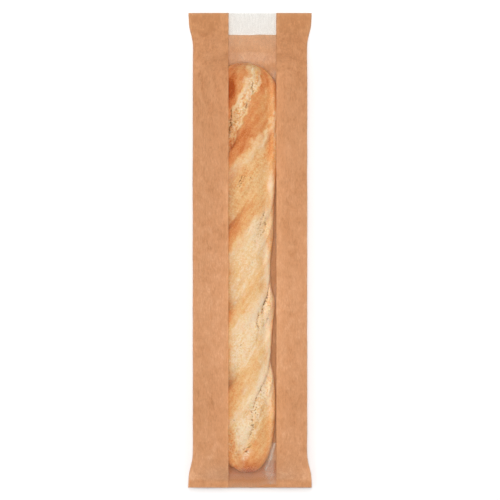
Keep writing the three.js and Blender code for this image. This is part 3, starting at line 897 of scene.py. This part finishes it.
# Patches of flour, some of them painted highlights: angle, place on Y, half width in degrees,
# half length, slant in millimetres per degree, strength.
FLOUR_AND_HIGHLIGHT_PATCHES = [
    (26, 219, 4, 5, 0.8, 0.8), (-6, 214, 3.5, 3, 0.5, 0.45), (5, 204, 9, 24, 1.2, 0.4),
    (64, 80, 9, 19, 0, 0.75), (60, 46, 12, 14, 0, 0.3), (34, 22, 14, 20, 0.6, 0.25),
    (60, -24, 14, 22, 0, 0.3), (34, -70, 13, 11, 1.1, 0.6), (10, -98, 15, 18, 0.8, 0.4),
    (60, -110, 14, 26, 0, 0.4), (34, -158, 10, 10, 1.4, 0.9), (0, -176, 7, 7, 0.5, 0.5),
    (-7, -236, 16, 19, 0.6, 1), (-2, -263, 13, 5.5, 0.3, 1.1), (-33, -271, 10, 5, 0, 0.1),
]
# Torn places strewn with small dark holes.
SPECK_PATCHES = [
    (14, 200, 14, 26, 1.2, 0.45), (-30, 168, 12, 14, 0.8, 0.8), (34, 32, 16, 18, 0.6, 0.6),
    (60, -70, 12, 26, 0.4, 0.4), (44, -92, 12, 14, 0.8, 0.4), (30, -186, 12, 16, 1.2, 0.75),
    (14, -214, 9, 22, 0.2, 1), (6, -246, 12, 9, 0.6, 0.6),
]


def patches(y, degrees, spots):
    total = np.zeros_like(y)
    for angle, place, wide, long, slant, change in spots:
        turn = (degrees - angle) / wide
        along = (y - place - slant * (degrees - angle)) / long
        total += change * np.exp(-((turn**2 + along**2) ** 1.5))
    return total


TOP_COLUMNS = 128  # round the upper half
BASE_COLUMNS = 44  # and round the lower one
LOAF_ROWS = 470
ROW_CROWDING = 0.85  # how much closer the rows lie at the tips


def loaf_grid():
    """Places on Y and angles of the crust's points, and both tips."""
    t = np.linspace(0, 1, LOAF_ROWS + 2)[1:-1]
    ys = mix(LOAF_START, LOAF_END, t - ROW_CROWDING * np.sin(2 * math.pi * t) / (2 * math.pi))
    top = np.linspace(-0.5, 0.5, TOP_COLUMNS + 1) * math.pi
    base = np.linspace(0.5, 1.5, BASE_COLUMNS + 1)[1:-1] * math.pi
    angle, y = np.meshgrid(np.concatenate([top, base]), ys)
    tips = np.array([LOAF_START, LOAF_END])
    return np.append(y.ravel(), tips), np.append(angle.ravel(), [0, 0]), angle.shape


def crust_tree():
    """Fine relief of the crust by noise: wrinkles and blisters of the baked skin, and
    pores and folds where the attribute torn says that the dough tore."""
    tree, size = new_tree("crust texture", {
        "Blister Size": 0.016,
        "Blister Height": 0.0004,
        "Wrinkle Size": 0.0045,
        "Wrinkle Height": 0.00016,
        "Fold Size": 0.007,
        "Fold Height": 0.0007,
        "Pore Size": 0.0024,
        "Pore Depth": 0.0009,
        "Seed": 11,
    })
    work = math_in(tree)
    position = put(tree, "GeometryNodeInputPosition")
    torn = named(tree, "torn")
    skin = work("SUBTRACT", 1.0, torn)
    blister = noise_field(tree, position, size["Blister Size"], size["Seed"])
    wrinkle = noise_field(tree, position, size["Wrinkle Size"], size["Seed"], 3.0)
    fold = noise_field(tree, position, size["Fold Size"], size["Seed"], 4.0)
    total = work("MULTIPLY", blister, size["Blister Height"])
    total = work("MULTIPLY_ADD", wrinkle, work("MULTIPLY", skin, size["Wrinkle Height"]), total)
    total = work("MULTIPLY_ADD", fold, work("MULTIPLY", torn, size["Fold Height"]), total)
    pores = noise_field(tree, position, size["Pore Size"], size["Seed"], 1.0)
    pore = work("MULTIPLY", work("SUBTRACT", pores, 0.35), 1.6, clamp=True)
    pore = work("MULTIPLY", pore, torn)
    total = work("SUBTRACT", total, work("MULTIPLY", pore, size["Pore Depth"]))
    inputs = {0: size["Geometry"], 2: "pore", 3: pore}
    kind = "GeometryNodeStoreNamedAttribute"
    stored = put(tree, kind, inputs, data_type="FLOAT", domain="POINT")
    close_tree(tree, push_out(tree, stored, total), size["Material"])
    return tree


SCORE_TURN = math.radians(58)  # of the scores from X, seen from above
FLANK_LIGHT_GAIN = (1.33, 1.26, 1.22)  # painted light: how much lighter the crust is painted down its flanks and near the closed end
SHADE_GAIN = (0.78, 0.7, 0.7)  # and how much darker where shade is painted
# Painted shade in the cracks and pores, partly on their darker brown, and in the rim round them.
CRACK_SHADE_COLOUR = paint(126, 72, 16)
CRACK_RIM_SHADE_COLOUR = paint(186, 130, 78)
SPECK_COLOUR = paint(158, 102, 44)
# The colour of flour and of painted highlights.
FLOUR_AND_HIGHLIGHT_COLOUR = paint(250, 230, 204)
STREAK_SWING = 0.48  # how far streaks swing the bake of the skin
CRUMB_SWING = 2.3  # and crumbs that of torn dough
# The crust from raw to dark, as display values.
CRUST_TONES = [
    (0.0, (250, 226, 195)), (0.15, (246, 210, 168)), (0.3, (241, 194, 139)),
    (0.45, (234, 171, 111)), (0.6, (227, 151, 93)), (0.75, (217, 131, 72)),
    (0.88, (201, 106, 44)), (1.0, (178, 78, 6)),
]


def crust_material():
    material, tree = new_material("baked_crust")
    work = math_in(tree)
    plain = place_on_object(tree)
    along_scores = place_on_object(tree, (7, 1, 2), SCORE_TURN)
    broad = noise_on(tree, plain, 24, 4, 0.55)
    mottle = noise_on(tree, plain, 6, 5, 0.68, 0.5)
    streaks = noise_on(tree, along_scores, 4.2, 4, 0.6, 0.4)
    crumbs = noise_on(tree, plain, 2.8, 4, 0.65)
    grain = noise_on(tree, plain, 1.6, 3, 0.6)
    dust = noise_on(tree, plain, 3.0, 6, 0.7)
    torn = attribute(tree, "torn")
    layers = ((broad, 0.24), (mottle, 0.34), (grain, 0.58))
    bake = sum_of_swings(tree, attribute(tree, "bake"), *layers)
    skin_swing = work("MULTIPLY", work("SUBTRACT", 1.0, torn), work("SUBTRACT", streaks, 0.5))
    torn_swing = work("MULTIPLY", torn, work("SUBTRACT", crumbs, 0.5))
    bake = work("MULTIPLY_ADD", skin_swing, STREAK_SWING, bake)
    bake = work("MULTIPLY_ADD", torn_swing, CRUMB_SWING, bake)
    colour = ramp(tree, bake, CRUST_TONES)
    dusting = work("MULTIPLY_ADD", dust, 3.2, -1.05)
    flour_and_highlight_share = work("MULTIPLY", attribute(tree, "flour_and_highlight"), dusting, clamp=True)
    # Flour, and painted highlights on the lips and ridges.
    colour = mix_colour(tree, flour_and_highlight_share, colour, FLOUR_AND_HIGHLIGHT_COLOUR)
    pore = work("MULTIPLY", attribute(tree, "pore"), 0.5, clamp=True)
    dots = work("MULTIPLY_ADD", noise_on(tree, plain, 2.6, 3, 0.6), 13.0, -7.3, clamp=True)
    speck = work("MAXIMUM", pore, work("MULTIPLY", dots, attribute(tree, "speck")))
    colour = mix_colour(tree, work("MULTIPLY", speck, 0.85), colour, SPECK_COLOUR)
    # Painted light down the flanks and near the closed end.
    colour = tint(tree, attribute(tree, "painted_light"), colour, FLANK_LIGHT_GAIN)
    # Painted shade in the left flank's grooves and round the closed end.
    colour = tint(tree, attribute(tree, "painted_shade"), colour, SHADE_GAIN)
    # Painted shade in the cracks and pores: a dark line, partly their darker brown, with a rim
    # of painted shade round it. Its half width varies, down to nothing where it is bridged.
    away = work("MULTIPLY", work("SUBTRACT", 1.0, attribute(tree, "mark")), MARK_REACH)
    bridged = noise_on(tree, plain, 2.2, 3, 0.6)
    rim_width = work("MULTIPLY_ADD", bridged, 9.0, -2.0)
    rim_shade = work("MULTIPLY", work("SUBTRACT", rim_width, away), 0.5, clamp=True)
    colour = mix_colour(tree, work("MULTIPLY", rim_shade, 0.6), colour, CRACK_RIM_SHADE_COLOUR)
    width = work("MULTIPLY_ADD", bridged, 6.0, -2.0)
    crack = work("MULTIPLY", work("SUBTRACT", width, away), 1.4, clamp=True)
    colour = mix_colour(tree, crack, colour, CRACK_SHADE_COLOUR)
    roughness = work("MULTIPLY_ADD", bake, -0.2, 0.8, clamp=True)
    height = work("ADD", work("MULTIPLY", grain, 0.6), work("MULTIPLY", dust, 0.4))
    bump = put(tree, "ShaderNodeBump", {"Strength": 0.5, "Distance": 0.0003, "Height": height})
    look = {
        "Base Color": colour,
        "Roughness": roughness,
        "Specular IOR Level": 0.3,
        "Subsurface Weight": 0.35,
        "Subsurface Radius": (1.0, 0.45, 0.2),
        "Subsurface Scale": 0.0025,
        "Normal": bump,
    }
    surface = put(tree, "ShaderNodeBsdfPrincipled", look)
    put(tree, "ShaderNodeOutputMaterial", {0: surface})
    return material


# How the zones' edges wander: height, size of the lumps and seed of each noise.
EDGE_WANDER = [(5, 19, 1), (2.4, 6.5, 2), (1.8, 3, 3)]
CRISP_WANDER = 9  # more of it where the edges are crisp, in lumps of the same size
EDGE_RAGGEDNESS = 1.6  # of a ridge's baked skin
UNDERSIDE_BAKE = 0.5
FLOUR_COVER = 0.45  # share of the torn look that full flour and painted highlight hide
# How much flour and painted highlight the lifted lips get.
LIP_FLOUR_AND_HIGHLIGHT = 0.4


def crust_relief(y, degrees, warp):
    """Height of the crust over the plain loaf, where the scores open it."""
    cycle = cycle_at(y + 0.4 * warp, degrees)
    within = cycle - np.floor(cycle)
    relief = score_relief(within)
    return np.where(relief < 0, relief * groove_share(within, degrees), relief)


def crust_bake(y, degrees, cycle, warp, crisp, rag):
    """How baked the skin of the ridges and the dough between them are."""
    ridges = np.arange(len(RIDGES))
    sides = zip(*[ridge["bake"] for ridge in RIDGES])
    left, right = (np.interp(cycle, ridges, bakes) for bakes in sides)
    skin = mix(left, right, smooth(degrees, -40, 35))
    # The left flank is painted darker: partly bake, partly painted shade.
    between = np.maximum(plain_bake(y + warp), FLANK_BAKE_AND_SHADE * smooth(-degrees, 14, 38))
    share = baked_share(cycle - np.floor(cycle))
    share += rag * share * (1 - share)
    share = mix(share, smooth(share, 0.22, 0.78), crisp)
    return mix(between, skin, share)


def rim_shadow(y, degrees):
    """How much darker the closed end is painted: a painted shadow round its tip and down its left
    side.
    """
    from_tip = y - LOAF_START
    tip = 0.8 * (1 - smooth(from_tip, 1, 8))
    shoulder = 0.7 * smooth(-degrees, 48, 72) * (1 - smooth(from_tip, 12, 26))
    return tip + shoulder + 0.3 * smooth(-degrees, -20, 25) * smooth(-y, 242, 258)


def make_loaf(material, tree):
    y, angle, (rows, cols) = loaf_grid()
    plain = crust_points(y, angle, np.zeros_like(y))
    degrees = np.degrees(np.where(angle > math.pi, angle - 2 * math.pi, angle))
    turned = np.abs(degrees)
    seen = (turned < 95).astype(float)
    flank = 1 - smooth(turned, 60, 92)
    ends = smooth(np.minimum(y - LOAF_START, LOAF_END - y), 0, 26)
    warp = sum(height * lumps(plain, size, seed) for height, size, seed in EDGE_WANDER)
    # The zones' edges are crisp near the mouth and near the closed end.
    crisp = smooth(y, 90, 150) + smooth(-y, 185, 215)
    warp += CRISP_WANDER * lumps(plain, CRISP_WANDER, 9) * crisp
    cycle = cycle_at(y + warp, degrees)
    within = cycle - np.floor(cycle)
    depth, mark = crust_marks(y, angle)
    relief = crust_relief(y, degrees, warp) * flank * ends - depth * seen
    rag = EDGE_RAGGEDNESS * lumps(plain, 3.5, 6)
    bake = crust_bake(y, degrees, cycle, warp, crisp, rag)
    # Baked patches, a few of them painted shade or light at the loaf's edges.
    bake += patches(y + 0.5 * warp, degrees, BAKE_PATCHES) * seen
    bake += np.where(y < 0, HEM_TIP_BAKE, MOUTH_TIP_BAKE) * (1 - nose_share(y)) ** 1.5
    under = smooth(turned, 84, 125)
    # Flour and painted highlights.
    flour_and_highlight = patches(y + 0.6 * warp, degrees, FLOUR_AND_HIGHLIGHT_PATCHES) * seen
    roughness = np.array(VALLEY_ROUGHNESS)[np.floor(cycle).astype(int)]
    torn = torn_share(within) * roughness * (1 - FLOUR_COVER * np.clip(flour_and_highlight, 0, 1))
    # Painted shade in the grooves down the left flank.
    painted_shade = groove_shade_share(within) * groove_shade_along(y) * smooth(-degrees, 8, 34)
    values = {
        "bake": mix(bake, UNDERSIDE_BAKE + 0.1 * lumps(plain, 25, 4), under),
        "torn": torn * flank * ends,
        "flour_and_highlight": flour_and_highlight + LIP_FLOUR_AND_HIGHLIGHT * lip_share(within) * flank,
        "speck": patches(y + 0.6 * warp, degrees, SPECK_PATCHES) * seen,
        "mark": mark * seen,
        # Where light is painted: down the flanks and near the closed end.
        "painted_light": (smooth(turned, 34, 62) + 0.5 * smooth(-y, 232, 275)) * seen,
        "painted_shade": (painted_shade + rim_shadow(y, degrees)) * seen,
    }
    values = {name: np.clip(value, 0, 1) for name, value in values.items()}
    faces = grid_faces(rows, cols, wrap=True).reshape(-1, 4).tolist() + tip_faces(rows, cols)
    mesh = make_mesh("baguette_loaf", crust_points(y, angle, relief), faces, **values)
    loaf = make_object("baguette_loaf", mesh)
    add_tree(loaf, tree, Material=material)
    make_plain(loaf)
    return loaf


def tip_faces(rows, cols):
    """A fan of triangles at each tip, whose two points come last."""
    first, last = rows * cols, rows * cols + 1
    top_row = (rows - 1) * cols
    fans = []
    for i in range(cols):
        after = (i + 1) % cols
        fans += [(first, after, i), (last, top_row + i, top_row + after)]
    return fans


# ---- Pieces ----

unevenness = sheet_tree()
bag = make_bag(kraft_material(), unevenness)
film = make_film(film_material(), unevenness)
loaf = make_loaf(crust_material(), crust_tree())

for piece, node, finish in (
    (bag, "bag", "kraft_paper"),
    (film, "film", "clear_film"),
    (loaf, "loaf", "crust"),
):
    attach(piece, "root")
    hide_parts(node)

# ---- Stage, light and camera, in metres ----

FLOOR_HALF = 4.0
FLOOR_GAP = 0.0002  # keeps the floor's face off the bag's
CAMERA_HEIGHT = 3.5
FRAME_WIDTH = 0.6424  # what the view spans at the bag's level
BAG_LEVEL = 0.01
SENSOR = 36
SKY = 0.34  # strength of the light from all round
# Softboxes: place, width, length and power.
SOFTBOXES = [
    (Vector((0.0, 0.0, 2.8)), 0.24, 0.8, 40),
    (Vector((-0.2, 2.0, 4.2)), 1.8, 1.8, 50),
    (Vector((1.4, 0.0, 2.2)), 1.0, 1.0, 6),
    (Vector((-1.4, 0.0, 2.2)), 1.0, 1.0, 9),
]


def make_floor():
    corners = [(-1, -1), (1, -1), (1, 1), (-1, 1)]
    points = np.array([(x * FLOOR_HALF, y * FLOOR_HALF, -FLOOR_GAP) for x, y in corners]) / MM
    mesh = make_mesh("floor", points, [(0, 1, 2, 3)])
    material, tree = new_material("pale_floor")
    surface = put(tree, "ShaderNodeBsdfDiffuse", {0: (0.92, 0.92, 0.92, 1)})
    put(tree, "ShaderNodeOutputMaterial", {0: surface})
    mesh.materials.append(material)
    return make_object("floor", mesh)


def make_lights():
    world = bpy.data.worlds.new("studio")
    world.use_nodes = True
    sky = world.node_tree.nodes["Background"]
    sky.inputs["Color"].default_value = (1, 1, 1, 1)
    sky.inputs["Strength"].default_value = SKY
    bpy.context.scene.world = world
    for place, width, length, power in SOFTBOXES:
        lamp = bpy.data.lights.new("softbox", "AREA")
        lamp.shape = "RECTANGLE"
        lamp.size = width
        lamp.size_y = length
        lamp.energy = power
        softbox = make_object("softbox", lamp)
        softbox.location = place
        softbox.rotation_euler = place.to_track_quat("Z", "Y").to_euler()
        softbox.visible_glossy = False


def make_camera():
    lens = bpy.data.cameras.new("camera")
    lens.sensor_width = SENSOR
    lens.lens = SENSOR * (CAMERA_HEIGHT - BAG_LEVEL) / FRAME_WIDTH
    lens.clip_end = 20
    camera = make_object("camera", lens)
    camera.location = (0, 0, CAMERA_HEIGHT)
    bpy.context.scene.camera = camera


make_floor()
make_lights()
make_camera()
bpy.context.scene.view_settings.view_transform = "Standard"
